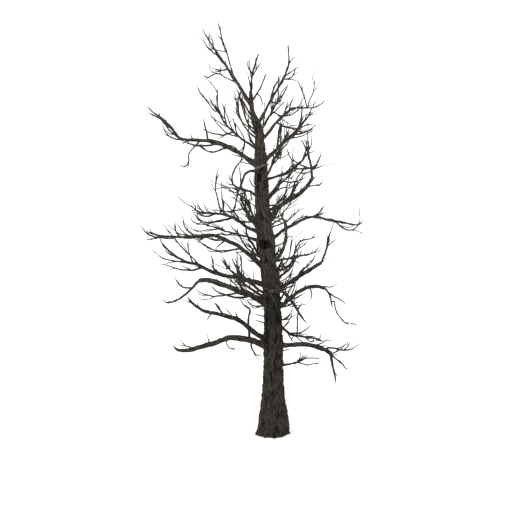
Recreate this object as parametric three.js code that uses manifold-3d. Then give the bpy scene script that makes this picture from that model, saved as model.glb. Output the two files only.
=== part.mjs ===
// A tall dead conifer: one leaning, tapering trunk and its bare limbs.
// Millimetres, +Z up, with the origin in the middle of the flat cut at ground level.
// Bearings are degrees about +Z: 0 is +X to the tree's right, 90 is +Y towards its far side.

import * as THREE from 'three';
import Module from 'manifold-3d';

const wasm = await Module();
wasm.setup();

// Sizes that all limbs share.
const seatGap = 0.3;
const tipGirth = 22;
const taperPower = 0.62;
const stepLength = 240;
const ringSpacing = 265;
const fewestRings = 6;
const bluntEndLength = 0.35;
const thickGirth = 180;
const middlingGirth = 100;

// The trunk, from the ground to its tip. `lean` is along X.
const trunkSides = 16;
const longestSection = 700;
const trunkSections = [
  { height: 0, lean: 0, across: 1300 },
  { height: 300, lean: 10, across: 1160 },
  { height: 900, lean: 10, across: 1010 },
  { height: 1300, lean: 0, across: 890 },
  { height: 2400, lean: 10, across: 765 },
  { height: 3800, lean: 0, across: 705 },
  { height: 4800, lean: -15, across: 660 },
  { height: 5900, lean: -100, across: 680 },
  { height: 6600, lean: -185, across: 620 },
  { height: 7400, lean: -270, across: 655 },
  { height: 8200, lean: -375, across: 545 },
  { height: 9000, lean: -430, across: 540 },
  { height: 10100, lean: -455, across: 490 },
  { height: 10900, lean: -490, across: 395 },
  { height: 11650, lean: -540, across: 330 },
  { height: 12050, lean: -670, across: 320 },
  { height: 12250, lean: -740, across: 215 },
  { height: 12650, lean: -815, across: 150 },
  { height: 13400, lean: -845, across: 108 },
  { height: 13800, lean: -795, across: 90 },
  { height: 14200, lean: -700, across: 70 },
];
const trunkTip = { height: 14620, lean: -565 };

// The trunk also wanders a little to and fro along Y.
const swayReach = 45;
const swayTurns = 1.3;

// Root flare: swellings round the foot that die out upwards.
const flareSwellings = 5;
const flareDepth = 0.07;
const flareHeight = 1100;
const flareTurn = 0.6;

// Each limb leaves its parent's middle line at `foot`, a height on the trunk or a share of a limb's length.
// It sets out on `bearing` and turns by `turn` on its way.
// `climb` is how steeply it rises at its foot, at even shares of its length and at its tip.
const leftLimbs = [
  { name: 'left_1', foot: 3250, bearing: 196, turn: 8, length: 4200, girth: 240,
    climb: [24, 21, 8, -13, -18, -4, 52] },
  { name: 'left_2', foot: 3400, bearing: 155, turn: 10, length: 4250, girth: 200,
    climb: [34, 27, 36, 14, 5, 32, 62] },
  { name: 'left_3', foot: 4900, bearing: 205, turn: -15, length: 3100, girth: 235, endGirth: 105,
    climb: [24, 27, 18, 24, -8] },
  { name: 'left_3_outer', on: 'left_3', foot: 1, bearing: 186, turn: -15, length: 1750, girth: 98,
    climb: [-46, -48, -34, -16, 50] },
  { name: 'left_4', foot: 5100, bearing: 122, turn: 10, length: 3900, girth: 110,
    climb: [10, 18, 30, 52] },
  { name: 'left_5', foot: 5250, bearing: 240, turn: 0, length: 3400, girth: 110,
    climb: [15, 22, 26, 60] },
  { name: 'left_6', foot: 5600, bearing: 154, turn: 15, length: 5300, girth: 170,
    climb: [20, 15, 5, 24, 16, 34, 58] },
  { name: 'left_7', foot: 6150, bearing: 188, turn: -12, length: 5350, girth: 175,
    climb: [40, 45, 38, 18, -10, 3, 3, 40] },
  { name: 'left_8', foot: 7400, bearing: 136, turn: 20, length: 3800, girth: 95,
    climb: [4, 14, 12, 18, 14, 50] },
  { name: 'left_9', foot: 7600, bearing: 106, turn: 10, length: 3800, girth: 118,
    climb: [12, 25, 38, 70] },
  { name: 'left_10', foot: 7700, bearing: 222, turn: -20, length: 3500, girth: 140,
    climb: [8, 20, 26, 8, 2, 64] },
  { name: 'left_11', foot: 8950, bearing: 118, turn: 0, length: 4400, girth: 125,
    climb: [28, 24, 16, 10, 22, 130, 158, 178] },
  { name: 'left_12', foot: 10050, bearing: 230, turn: -20, length: 2500, girth: 125,
    climb: [10, -5, -55, -70, -80, -60] },
  { name: 'left_13', foot: 10150, bearing: 172, turn: 12, length: 5400, girth: 205,
    climb: [42, 37, 28, 6, -2, 58, 34, 48] },
  { name: 'left_14', foot: 10850, bearing: 208, turn: -10, length: 3250, girth: 110,
    climb: [27, 30, 34, 56, 88, 92] },
  { name: 'left_15', foot: 11250, bearing: 118, turn: 10, length: 3150, girth: 88,
    climb: [26, 32, 38, 55, 78, 34] },
];

const rightLimbs = [
  { name: 'right_1', foot: 2550, bearing: 315, turn: 0, length: 1950, girth: 90,
    climb: [14, 14, 18, 42] },
  { name: 'right_2', foot: 3350, bearing: 352, turn: 8, length: 2300, girth: 170, endGirth: 105,
    climb: [10, 4, 0, -16, -42] },
  { name: 'right_2_outer', on: 'right_2', foot: 1, bearing: 0, turn: 0, length: 1250, girth: 98,
    climb: [-84, -76, -88] },
  { name: 'right_3', foot: 4250, bearing: 52, turn: -10, length: 3400, girth: 115,
    climb: [-12, -34, -10, -8, -24] },
  { name: 'right_4', foot: 4650, bearing: 335, turn: 5, length: 2400, girth: 145, endGirth: 82,
    climb: [40, 38, 36, 15, -20] },
  { name: 'right_4_outer', on: 'right_4', foot: 1, bearing: 343, turn: 5, length: 920, girth: 76,
    climb: [-36, -84, -68] },
  { name: 'right_5', foot: 5350, bearing: 18, turn: 0, length: 2400, girth: 160, endGirth: 90,
    climb: [36, 30, 28, 30] },
  { name: 'right_5_outer', on: 'right_5', foot: 1, bearing: 18, turn: 10, length: 1500, girth: 84,
    climb: [62, 68, 80, 56] },
  { name: 'right_6', foot: 5750, bearing: 300, turn: 5, length: 2700, girth: 140,
    climb: [-10, -22, -45, -32] },
  { name: 'right_7', foot: 6200, bearing: 70, turn: -25, length: 4600, girth: 95,
    climb: [2, 3, 4, 26, 68, 28, 4, 52] },
  { name: 'right_8', foot: 6350, bearing: 290, turn: 0, length: 3400, girth: 155,
    climb: [26, 22, 28, 45, 85, 145, 120] },
  { name: 'right_9', foot: 6600, bearing: 50, turn: -15, length: 3150, girth: 100,
    climb: [9, 5, 8, 6, 62] },
  { name: 'right_10', foot: 7250, bearing: 12, turn: -10, length: 4350, girth: 128,
    climb: [42, 44, 22, 26, -20, -6, -12, 55] },
  { name: 'right_11', foot: 7750, bearing: 345, turn: 0, length: 2750, girth: 225, endGirth: 125,
    climb: [60, 60, 34, 36, 60] },
  { name: 'right_11_outer', on: 'right_11', foot: 1, bearing: 345, turn: 0, length: 1450, girth: 115,
    climb: [88, 106, 97] },
  { name: 'right_12', foot: 8850, bearing: 62, turn: -10, length: 4000, girth: 112,
    climb: [24, 27, 32, 38, 22, 50, 140, 125] },
  { name: 'right_13', foot: 9600, bearing: 292, turn: 5, length: 3050, girth: 122,
    climb: [24, 38, 36, 48] },
  { name: 'right_14', foot: 9700, bearing: 324, turn: 0, length: 2950, girth: 115,
    climb: [16, 8, 12, 28, 42, 106, 138] },
  { name: 'right_15', foot: 10350, bearing: 20, turn: 0, length: 3200, girth: 160,
    climb: [46, 44, 42, 34, 56, 50, 34] },
  { name: 'right_16', foot: 11200, bearing: 345, turn: 5, length: 1800, girth: 125, endGirth: 75,
    climb: [48, 47, 38] },
  { name: 'right_16_outer', on: 'right_16', foot: 1, bearing: 350, turn: 10, length: 1250, girth: 68,
    climb: [4, -6, 14, 52] },
  { name: 'right_17', foot: 11600, bearing: 305, turn: 15, length: 2350, girth: 100,
    climb: [34, 42, 48, 38, 76] },
  { name: 'right_18', foot: 11800, bearing: 30, turn: 0, length: 3900, girth: 125,
    climb: [68, 62, 55, 56, 66, 92, 96] },
];

const topLimbs = [
  { name: 'top_left', foot: 12450, bearing: 195, turn: -10, length: 3700, girth: 150,
    climb: [64, 55, 56, 54, 66] },
  { name: 'top_right', foot: 12800, bearing: 330, turn: 0, length: 1300, girth: 80,
    climb: [46, 54, 60, 104] },
];

const forks = [
  { name: 'left_1_riser', on: 'left_1', foot: 0.25, bearing: 215, turn: 0, length: 1700, girth: 85,
    climb: [100, 84, 88, 116, 20, 25] },
  { name: 'left_6_fork', on: 'left_6', foot: 0.6, bearing: 205, turn: 0, length: 2050, girth: 58,
    climb: [48, 42, 52, 46] },
  { name: 'left_10_fork', on: 'left_10', foot: 0.6, bearing: 150, turn: 0, length: 1700, girth: 65,
    climb: [72, 80, 102] },
  { name: 'left_13_drop', on: 'left_13', foot: 0.5, bearing: 205, turn: 0, length: 1550, girth: 62,
    climb: [-48, -46, -56, -92, -40, 66] },
  { name: 'left_14_fork', on: 'left_14', foot: 0.65, bearing: 160, turn: 0, length: 1600, girth: 48,
    climb: [34, 52, 50, 76] },
  { name: 'right_2_fork', on: 'right_2', foot: 0.82, bearing: 25, turn: 0, length: 1650, girth: 72,
    climb: [0, -14, -2, 26] },
  { name: 'right_2_drop', on: 'right_2', foot: 0.94, bearing: 325, turn: 0, length: 1050, girth: 66,
    climb: [-36, -32, -46] },
  { name: 'right_4_fork', on: 'right_4_outer', foot: 0.42, bearing: 325, turn: 0, length: 1450, girth: 48,
    climb: [-30, -76, -56, -36, -14] },
  { name: 'right_11_fork', on: 'right_11_outer', foot: 0.05, bearing: 20, turn: 0, length: 1100, girth: 82,
    climb: [72, 68, 58, 100] },
  { name: 'right_11_riser', on: 'right_11', foot: 0.56, bearing: 30, turn: 0, length: 1600, girth: 88,
    climb: [66, 68, 60, 22] },
  { name: 'right_16_fork', on: 'right_16_outer', foot: 0.45, bearing: 200, turn: 0, length: 1100, girth: 48,
    climb: [74, 68, 62] },
  { name: 'top_left_fork', on: 'top_left', foot: 0.39, bearing: 200, turn: 0, length: 2200, girth: 60,
    climb: [80, 66, 78, 72] },
  { name: 'top_left_spur', on: 'top_left', foot: 0.34, bearing: 160, turn: 0, length: 1550, girth: 52,
    climb: [18, 22, 42, -8, -26, 76] },
];

// Limbs that leave the far side of the trunk at even heights, shorter and thinner upwards.
const backTiers = 5;
const backFoot = 4300;
const backSpacing = 1750;
const backBearing = 90;
const backStagger = 6;
const backLength = 3500;
const backShortening = 300;
const backGirth = 150;
const backThinning = 18;
const backClimb = [20, 26, 14, 8, 44];

const barkColour = 0x34312d;
const deadWoodColour = 0x3b3733;

function backLimbs() {
  const limbs = [];
  for (let tier = 0; tier < backTiers; tier += 1) {
    const side = tier % 2 === 0 ? 1 : -1;
    limbs.push({
      name: `back_${tier + 1}`,
      foot: backFoot + tier * backSpacing,
      bearing: backBearing + side * backStagger,
      turn: -side * backStagger,
      length: backLength - tier * backShortening,
      girth: backGirth - tier * backThinning,
      climb: backClimb,
    });
  }
  return limbs;
}

// One closed body through rings of points, with a point at each end.
function closedTube(rings, footPoint, tipPoint) {
  const sides = rings[0].length;
  const points = rings.flat();
  const last = (rings.length - 1) * sides;
  const foot = points.push(footPoint) - 1;
  const tip = points.push(tipPoint) - 1;
  const faces = [];
  for (let side = 0; side < sides; side += 1) {
    const next = (side + 1) % sides;
    faces.push(foot, next, side);
    faces.push(tip, last + side, last + next);
    for (let base = 0; base < last; base += sides) {
      faces.push(base + side, base + next, base + sides + next);
      faces.push(base + side, base + sides + next, base + sides + side);
    }
  }
  const geometry = new THREE.BufferGeometry().setFromPoints(points);
  geometry.setIndex(faces);
  return geometry;
}

function toSolid(geometry) {
  const mesh = new wasm.Mesh({
    numProp: 3,
    vertProperties: geometry.getAttribute('position').array,
    triVerts: Uint32Array.from(geometry.getIndex().array),
  });
  return new wasm.Manifold(mesh);
}

function toGeometry(solid) {
  const { vertProperties, triVerts } = solid.getMesh();
  const geometry = new THREE.BufferGeometry();
  geometry.setAttribute('position', new THREE.BufferAttribute(vertProperties, 3));
  geometry.setIndex(new THREE.BufferAttribute(triVerts, 1));
  geometry.computeVertexNormals();
  return geometry;
}

function swayAt(height) {
  return swayReach * Math.sin((2 * Math.PI * swayTurns * height) / trunkTip.height);
}

// The trunk's middle and its radius at any height, between the sections above.
function trunkAt(height) {
  const upper = Math.max(1, trunkSections.findIndex((section) => section.height >= height));
  const above = trunkSections[upper];
  const below = trunkSections[upper - 1];
  const share = (height - below.height) / (above.height - below.height);
  const mix = (key) => THREE.MathUtils.lerp(below[key], above[key], share);
  return { centre: new THREE.Vector3(mix('lean'), swayAt(height), height), radius: mix('across') / 2 };
}

function trunkSolid(extra) {
  const heights = trunkSections.flatMap(({ height }, index) => {
    const next = trunkSections[index + 1];
    const split = next && next.height - height > longestSection;
    return split ? [height, (height + next.height) / 2] : [height];
  });
  const rings = heights.map((height) => {
    const { centre, radius } = trunkAt(height);
    const flare = flareDepth * Math.max(0, 1 - height / flareHeight) ** 2;
    const ring = [];
    for (let side = 0; side < trunkSides; side += 1) {
      const angle = (2 * Math.PI * side) / trunkSides;
      const reach = radius * (1 + flare * Math.cos(flareSwellings * angle + flareTurn)) + extra;
      ring.push(new THREE.Vector3(reach * Math.cos(angle), reach * Math.sin(angle), 0).add(centre));
    }
    return ring;
  });
  const tip = new THREE.Vector3(trunkTip.lean, swayAt(trunkTip.height), trunkTip.height + extra);
  return toSolid(closedTube(rings, new THREE.Vector3(), tip));
}

function climbAt(climb, share) {
  const place = share * (climb.length - 1);
  const below = Math.min(Math.floor(place), climb.length - 2);
  return THREE.MathUtils.lerp(climb[below], climb[below + 1], place - below);
}

// The middle line of a limb, walked out from its foot in short steps.
function limbLine(limb, start) {
  const stepCount = Math.round(limb.length / stepLength);
  const points = [start.clone()];
  for (let index = 0; index < stepCount; index += 1) {
    const share = (index + 0.5) / stepCount;
    const bearing = THREE.MathUtils.degToRad(limb.bearing + limb.turn * share);
    const climb = THREE.MathUtils.degToRad(climbAt(limb.climb, share));
    const stride = new THREE.Vector3(
      Math.cos(climb) * Math.cos(bearing),
      Math.cos(climb) * Math.sin(bearing),
      Math.sin(climb),
    );
    points.push(points.at(-1).clone().addScaledVector(stride, limb.length / stepCount));
  }
  return new THREE.CatmullRomCurve3(points, false, 'centripetal');
}

function limbSides(girth) {
  if (girth >= thickGirth) {
    return 7;
  }
  return girth >= middlingGirth ? 6 : 5;
}

function limbSolid(limb, line, extra) {
  const sides = limbSides(limb.girth);
  const ringCount = Math.max(fewestRings, Math.round(limb.length / ringSpacing));
  const frames = line.computeFrenetFrames(ringCount, false);
  const endRadius = (limb.endGirth ?? tipGirth) / 2;
  const lastRing = limb.endGirth ? ringCount : ringCount - 1;
  const rings = [];
  for (let index = 0; index <= lastRing; index += 1) {
    const centre = line.getPointAt(index / ringCount);
    const fullness = (1 - index / ringCount) ** (limb.endGirth ? 1 : taperPower);
    const radius = THREE.MathUtils.lerp(endRadius, limb.girth / 2, fullness) + extra;
    const ring = [];
    for (let side = 0; side < sides; side += 1) {
      const angle = (2 * Math.PI * side) / sides;
      const point = centre.clone();
      point.addScaledVector(frames.normals[index], radius * Math.cos(angle));
      point.addScaledVector(frames.binormals[index], radius * Math.sin(angle));
      ring.push(point);
    }
    rings.push(ring);
  }
  const beyond = limb.endGirth ? endRadius * bluntEndLength + extra : extra;
  const tip = line.getPointAt(1).addScaledVector(frames.tangents[ringCount], beyond);
  return toSolid(closedTube(rings, line.getPointAt(0), tip));
}

// A cut at a limb's foot can leave a scrap behind, and only the limb itself stays.
function largestBody(solid) {
  return solid.decompose().reduce((best, body) => (body.volume() > best.volume() ? body : best));
}

function boxesMeet(one, other) {
  const a = one.boundingBox();
  const b = other.boundingBox();
  return [0, 1, 2].every((axis) => a.min[axis] < b.max[axis] && b.min[axis] < a.max[axis]);
}

function barkMaterial(colour) {
  return new THREE.MeshStandardMaterial({ color: colour, roughness: 0.92, metalness: 0 });
}

const tree = new THREE.Group();
const lines = new Map();
const grown = [];

function addNode(name, solid, wider, colour) {
  const mesh = new THREE.Mesh(toGeometry(solid), barkMaterial(colour));
  mesh.name = name;
  tree.add(mesh);
  grown.push(wider);
}

function addLimb(limb) {
  const parent = lines.get(limb.on);
  const start = parent ? parent.getPointAt(limb.foot) : trunkAt(limb.foot).centre;
  const line = limbLine(limb, start);
  lines.set(limb.name, line);
  let solid = limbSolid(limb, line, 0);
  for (const neighbour of grown) {
    if (boxesMeet(solid, neighbour)) {
      solid = solid.subtract(neighbour);
    }
  }
  addNode(limb.name, largestBody(solid), limbSolid(limb, line, seatGap), deadWoodColour);
}

addNode('trunk', trunkSolid(0), trunkSolid(seatGap), barkColour);
[...leftLimbs, ...rightLimbs, ...topLimbs, ...forks, ...backLimbs()].forEach(addLimb);

export default tree;
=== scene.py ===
import math
import random

import bpy
import numpy as np
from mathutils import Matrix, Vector, noise


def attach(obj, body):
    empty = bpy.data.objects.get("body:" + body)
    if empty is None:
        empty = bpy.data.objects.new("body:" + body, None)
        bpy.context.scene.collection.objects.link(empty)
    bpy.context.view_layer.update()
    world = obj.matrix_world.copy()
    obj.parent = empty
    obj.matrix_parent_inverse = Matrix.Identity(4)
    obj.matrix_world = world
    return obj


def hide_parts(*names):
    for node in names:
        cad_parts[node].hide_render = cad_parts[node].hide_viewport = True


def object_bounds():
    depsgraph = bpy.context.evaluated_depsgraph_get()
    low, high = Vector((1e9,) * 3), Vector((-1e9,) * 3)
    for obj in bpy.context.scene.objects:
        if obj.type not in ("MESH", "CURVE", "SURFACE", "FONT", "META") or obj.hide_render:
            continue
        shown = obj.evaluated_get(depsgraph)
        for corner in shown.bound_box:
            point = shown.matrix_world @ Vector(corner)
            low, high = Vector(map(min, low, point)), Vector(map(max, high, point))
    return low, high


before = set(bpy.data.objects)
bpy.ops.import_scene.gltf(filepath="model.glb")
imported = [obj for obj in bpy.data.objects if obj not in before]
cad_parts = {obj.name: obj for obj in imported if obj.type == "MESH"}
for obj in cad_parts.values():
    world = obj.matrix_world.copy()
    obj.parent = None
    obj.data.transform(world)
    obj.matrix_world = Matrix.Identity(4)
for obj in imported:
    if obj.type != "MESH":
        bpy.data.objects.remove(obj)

cadLow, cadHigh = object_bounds()
noise.seed_set(1)        # the limbs bend the same way in every run
print("frame loaded:", len(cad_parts), "pieces of wood")


# node helpers
def addNode(tree, kind, inputs=None, **settings):
    node = tree.nodes.new(kind)
    for name, value in settings.items():
        setattr(node, name, value)
    for name, value in (inputs or {}).items():
        socket = node.inputs[name]
        if isinstance(value, bpy.types.NodeSocket):
            tree.links.new(value, socket)
        else:
            socket.default_value = value
    return node


def calc(tree, operation, first, second=0.0):
    return addNode(tree, "ShaderNodeMath", {0: first, 1: second}, operation=operation).outputs[0]


def vectorCalc(tree, operation, first, second=(0, 0, 0)):
    node = addNode(tree, "ShaderNodeVectorMath", {0: first, 1: second}, operation=operation)
    return node.outputs["Vector"]


def scaled(tree, vector, factor):
    node = addNode(tree, "ShaderNodeVectorMath", {"Vector": vector, "Scale": factor}, operation="SCALE")
    return node.outputs["Vector"]


def remap(tree, value, low, high):
    # a soft step from 0 at low to 1 at high
    node = addNode(tree, "ShaderNodeMapRange", {"Value": value, "From Min": low, "From Max": high},
        interpolation_type="SMOOTHSTEP")
    return node.outputs["Result"]


def noiseNode(tree, vector, scale, detail, roughness=0.5):
    # the values of every noise below are in this order
    return addNode(tree, "ShaderNodeTexNoise", {
        "Vector": vector, "Scale": scale, "Detail": detail, "Roughness": roughness})


def newGroup(name, kind, inputs, outputs):
    tree = bpy.data.node_groups.new(name, kind)
    for direction, sockets in (("INPUT", inputs), ("OUTPUT", outputs)):
        for label, sort, *default in sockets:
            socket = tree.interface.new_socket(label, in_out=direction, socket_type="NodeSocket" + sort)
            if default:
                socket.default_value = default[0]
    return tree, tree.nodes.new("NodeGroupInput").outputs, tree.nodes.new("NodeGroupOutput").inputs


# shader groups
grainPattern = {
    "stretch": (3.2, 3.2, 0.8), "streakRange": (0.3, 0.7), "blotchRange": (0.34, 0.66),
    "streaks": (1.6, 5.0, 0.62), "blotches": (0.42, 3.0, 0.55), "pits": (5.5, 3.0, 0.7),
}


def buildWeatheredGrain():
    # long streaks along the wood and broad soft blotches
    tree, given, result = newGroup("weatheredGrain", "ShaderNodeTree",
        [("Place", "Vector"), ("Fineness", "Float", 1.0)],
        [("Streaks", "Float"), ("Blotches", "Float"), ("Pits", "Float")])
    place = scaled(tree, given["Place"], given["Fineness"])
    drawnOut = vectorCalc(tree, "MULTIPLY", place, grainPattern["stretch"])
    streaks = noiseNode(tree, drawnOut, *grainPattern["streaks"]).outputs["Fac"]
    blotches = noiseNode(tree, place, *grainPattern["blotches"]).outputs["Fac"]
    pits = noiseNode(tree, drawnOut, *grainPattern["pits"]).outputs["Fac"]
    tree.links.new(remap(tree, streaks, *grainPattern["streakRange"]), result["Streaks"])
    tree.links.new(remap(tree, blotches, *grainPattern["blotchRange"]), result["Blotches"])
    tree.links.new(pits, result["Pits"])
    return tree


lichenPattern = {
    "scabs": (9.0, 4.0, 0.6), "scabRange": (0.55, 0.68),
    "patches": (0.9, 2.0), "patchRange": (0.48, 0.62),
}


def buildLichenFlecks():
    # small pale scabs of lichen, gathered in patches
    tree, given, result = newGroup("lichenFlecks", "ShaderNodeTree",
        [("Place", "Vector"), ("Amount", "Float", 0.5)],
        [("Mask", "Float")])
    scabs = noiseNode(tree, given["Place"], *lichenPattern["scabs"]).outputs["Fac"]
    patches = noiseNode(tree, given["Place"], *lichenPattern["patches"]).outputs["Fac"]
    scabMask = remap(tree, scabs, *lichenPattern["scabRange"])
    patchMask = remap(tree, patches, *lichenPattern["patchRange"])
    both = calc(tree, "MULTIPLY", scabMask, patchMask)
    tree.links.new(calc(tree, "MULTIPLY", both, given["Amount"]), result["Mask"])
    return tree


creviceMarks = {"gritShare": 0.25, "furrow": (0.42, 0.92), "crest": (0.4, 0.12)}


def buildCreviceShade():
    # what the relief stored, turned into a mask for the furrows, dark bark with painted shade, and one for
    # rubbed crests
    tree, given, result = newGroup("creviceShade", "ShaderNodeTree",
        [("Crevice", "Float"), ("Grit", "Float")],
        [("Furrow", "Float"), ("Crest", "Float")])
    grit = calc(tree, "MULTIPLY", given["Grit"], creviceMarks["gritShare"])
    uneven = calc(tree, "ADD", given["Crevice"], grit)
    tree.links.new(remap(tree, uneven, *creviceMarks["furrow"]), result["Furrow"])
    tree.links.new(remap(tree, uneven, *creviceMarks["crest"]), result["Crest"])
    return tree


weatheredGrain = buildWeatheredGrain()
lichenFlecks = buildLichenFlecks()
creviceShade = buildCreviceShade()


# materials
barkTones = {
    "oldBark": {
        "furrowAndShade": (0.0075, 0.0067, 0.0056), "dark": (0.0225, 0.0198, 0.0165),
        "light": (0.0415, 0.036, 0.0292), "crest": (0.06, 0.053, 0.044),
        "lichen": (0.075, 0.08, 0.062), "rust": (0.052, 0.033, 0.023),
        "fineness": 1.0, "bump": 0.012, "lichenAmount": 0.45, "rustAmount": 0.3},
    "limbBark": {
        "furrowAndShade": (0.0065, 0.006, 0.0052), "dark": (0.0165, 0.0148, 0.0126), "light": (0.036, 0.0318, 0.026),
        "crest": (0.054, 0.0485, 0.041), "lichen": (0.07, 0.074, 0.058), "rust": (0.046, 0.031, 0.023),
        "fineness": 1.3, "bump": 0.006, "lichenAmount": 0.4, "rustAmount": 0.22},
    "twigWood": {
        "furrowAndShade": (0.009, 0.008, 0.0068), "dark": (0.0165, 0.0146, 0.0122), "light": (0.034, 0.029, 0.0232),
        "crest": (0.048, 0.042, 0.0345), "lichen": (0.06, 0.062, 0.05), "rust": (0.045, 0.03, 0.022),
        "fineness": 1.6, "bump": 0.002, "lichenAmount": 0.15, "rustAmount": 0.3},
}
barkFinish = {"roughness": 0.9, "specular": 0.12, "crestMix": 0.55, "furrowMix": 0.8, "bumpStrength": 0.9}


def mixColour(tree, factor, first, second):
    pair = [value if isinstance(value, bpy.types.NodeSocket) else (*value, 1.0) for value in (first, second)]
    node = addNode(tree, "ShaderNodeMix", {0: factor, 6: pair[0], 7: pair[1]}, data_type="RGBA")
    return node.outputs[2]


def makeBark(name):
    tones = barkTones[name]
    material = bpy.data.materials.new(name)
    material.use_nodes = True
    tree = material.node_tree
    shader = tree.nodes["Principled BSDF"]
    place = addNode(tree, "ShaderNodeAttribute", attribute_name="barkPlace").outputs["Vector"]
    crevice = addNode(tree, "ShaderNodeAttribute", attribute_name="crevice").outputs["Fac"]
    grain = addNode(tree, "ShaderNodeGroup", {"Place": place, "Fineness": tones["fineness"]},
        node_tree=weatheredGrain)
    shade = addNode(tree, "ShaderNodeGroup", {"Crevice": crevice, "Grit": grain.outputs["Pits"]},
        node_tree=creviceShade)
    flecks = addNode(tree, "ShaderNodeGroup", {"Place": place, "Amount": tones["lichenAmount"]},
        node_tree=lichenFlecks)
    colour = mixColour(tree, grain.outputs["Streaks"], tones["dark"], tones["light"])
    rusty = calc(tree, "MULTIPLY", grain.outputs["Blotches"], tones["rustAmount"])
    colour = mixColour(tree, rusty, colour, tones["rust"])
    crest = calc(tree, "MULTIPLY", shade.outputs["Crest"], barkFinish["crestMix"])
    colour = mixColour(tree, crest, colour, tones["crest"])
    colour = mixColour(tree, flecks.outputs["Mask"], colour, tones["lichen"])
    # furrows and hollows take the darkest colour: painted shade, together with the furrows' own dark bark
    furrow = calc(tree, "MULTIPLY", shade.outputs["Furrow"], barkFinish["furrowMix"])
    colour = mixColour(tree, furrow, colour, tones["furrowAndShade"])
    # the stored tone scales the colour; on the trunk it holds the painted shade under the lowest boughs
    tone = addNode(tree, "ShaderNodeAttribute", attribute_name="tone").outputs["Fac"]
    tree.links.new(scaled(tree, colour, tone), shader.inputs["Base Color"])
    shader.inputs["Roughness"].default_value = barkFinish["roughness"]
    shader.inputs["Specular IOR Level"].default_value = barkFinish["specular"]
    bump = addNode(tree, "ShaderNodeBump", {
        "Height": grain.outputs["Pits"], "Distance": tones["bump"], "Strength": barkFinish["bumpStrength"]})
    tree.links.new(bump.outputs["Normal"], shader.inputs["Normal"])
    return material


materials = {name: makeBark(name) for name in barkTones}
print("materials:", ", ".join(materials))


# geometry nodes: relief of the bark, and tubes of wood along strands
reliefPattern = {
    "sway": (0.8, 2.0), "swayReach": 1.5, "plateEdge": 0.2, "plates": 0.5, "fibre": 0.6,
    "fibreStretch": (2.6, 2.6, 0.9), "fibreGrain": (1.4, 4.0, 0.6),
    "pocketStretch": (0.36, 0.36, 1.4), "pocketGrain": (0.8, 1.0),
    "pocketRange": (0.58, 0.66), "pockets": 0.9,
    "lumpGrain": (0.5, 1.0), "lumps": 0.5,
    "knobStretch": (0.45, 0.45, 2.4), "knobGrain": (1.0, 1.0),
    "knobRange": (0.35, 0.65), "knobs": 0.8, "middle": 1.35, "creviceRange": (0.85, 0.05),
}


def stored(tree, name):
    node = addNode(tree, "GeometryNodeInputNamedAttribute", {"Name": name}, data_type="FLOAT")
    return node.outputs["Attribute"]


def storeValue(tree, geometry, name, value, kind="FLOAT"):
    node = addNode(tree, "GeometryNodeStoreNamedAttribute", {
        "Geometry": geometry, "Name": name, "Value": value}, data_type=kind, domain="POINT")
    return node.outputs["Geometry"]


def buildBarkRelief():
    tree, given, result = newGroup("barkRelief", "GeometryNodeTree",
        [("Geometry", "Geometry"), ("Plate Width", "Float", 0.07),
         ("Plate Length", "Float", 0.4), ("Depth", "Float", 0.01)],
        [("Geometry", "Geometry")])
    angle = calc(tree, "MULTIPLY", stored(tree, "around"), math.tau)
    girth = calc(tree, "DIVIDE", stored(tree, "girth"), given["Plate Width"])
    along = calc(tree, "DIVIDE", stored(tree, "along"), given["Plate Length"])
    place = addNode(tree, "ShaderNodeCombineXYZ", {
        "X": calc(tree, "MULTIPLY", calc(tree, "COSINE", angle), girth),
        "Y": calc(tree, "MULTIPLY", calc(tree, "SINE", angle), girth),
        "Z": along}).outputs["Vector"]
    sway = noiseNode(tree, place, *reliefPattern["sway"]).outputs["Color"]
    sway = scaled(tree, vectorCalc(tree, "SUBTRACT", sway, (0.5, 0.5, 0.5)), reliefPattern["swayReach"])
    swayed = vectorCalc(tree, "ADD", place, sway)

    def pattern(name, source):
        stretched = vectorCalc(tree, "MULTIPLY", source, reliefPattern[name + "Stretch"])
        return noiseNode(tree, stretched, *reliefPattern[name + "Grain"]).outputs["Fac"]

    def share(name, value):
        return calc(tree, "MULTIPLY", value, reliefPattern[name])

    edges = addNode(tree, "ShaderNodeTexVoronoi", {"Vector": swayed, "Scale": 1.0},
        feature="DISTANCE_TO_EDGE").outputs["Distance"]
    plates = remap(tree, edges, 0.0, reliefPattern["plateEdge"])
    lumps = noiseNode(tree, place, *reliefPattern["lumpGrain"]).outputs["Fac"]
    pockets = remap(tree, pattern("pocket", swayed), *reliefPattern["pocketRange"])
    knobs = remap(tree, pattern("knob", place), *reliefPattern["knobRange"])
    height = calc(tree, "ADD", share("plates", plates), share("fibre", pattern("fibre", swayed)))
    height = calc(tree, "SUBTRACT", height, share("pockets", pockets))
    full = calc(tree, "ADD", calc(tree, "ADD", height, share("lumps", lumps)), share("knobs", knobs))
    above = calc(tree, "SUBTRACT", full, reliefPattern["middle"])
    push = calc(tree, "MULTIPLY", above, given["Depth"])
    # the crevice mask marks furrows and pockets; in the material it darkens the colour as painted shade over
    # the furrows' dark bark
    crevice = remap(tree, height, *reliefPattern["creviceRange"])
    # the painted shade inside the trunk's hollows joins the crevice mask
    crevice = calc(tree, "MAXIMUM", crevice, stored(tree, "hollowShade"))
    normal = addNode(tree, "GeometryNodeInputNormal").outputs["Normal"]
    cracked = storeValue(tree, given["Geometry"], "crevice", crevice)
    placed = storeValue(tree, cracked, "barkPlace", place, "FLOAT_VECTOR")
    raised = addNode(tree, "GeometryNodeSetPosition", {
        "Geometry": placed, "Offset": scaled(tree, normal, push)})
    tree.links.new(raised.outputs["Geometry"], result["Geometry"])
    return tree


barkRelief = buildBarkRelief()
reliefSockets = [("Plate Width", "Float"), ("Plate Length", "Float"),
                 ("Depth", "Float"), ("Bark", "Material")]


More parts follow.
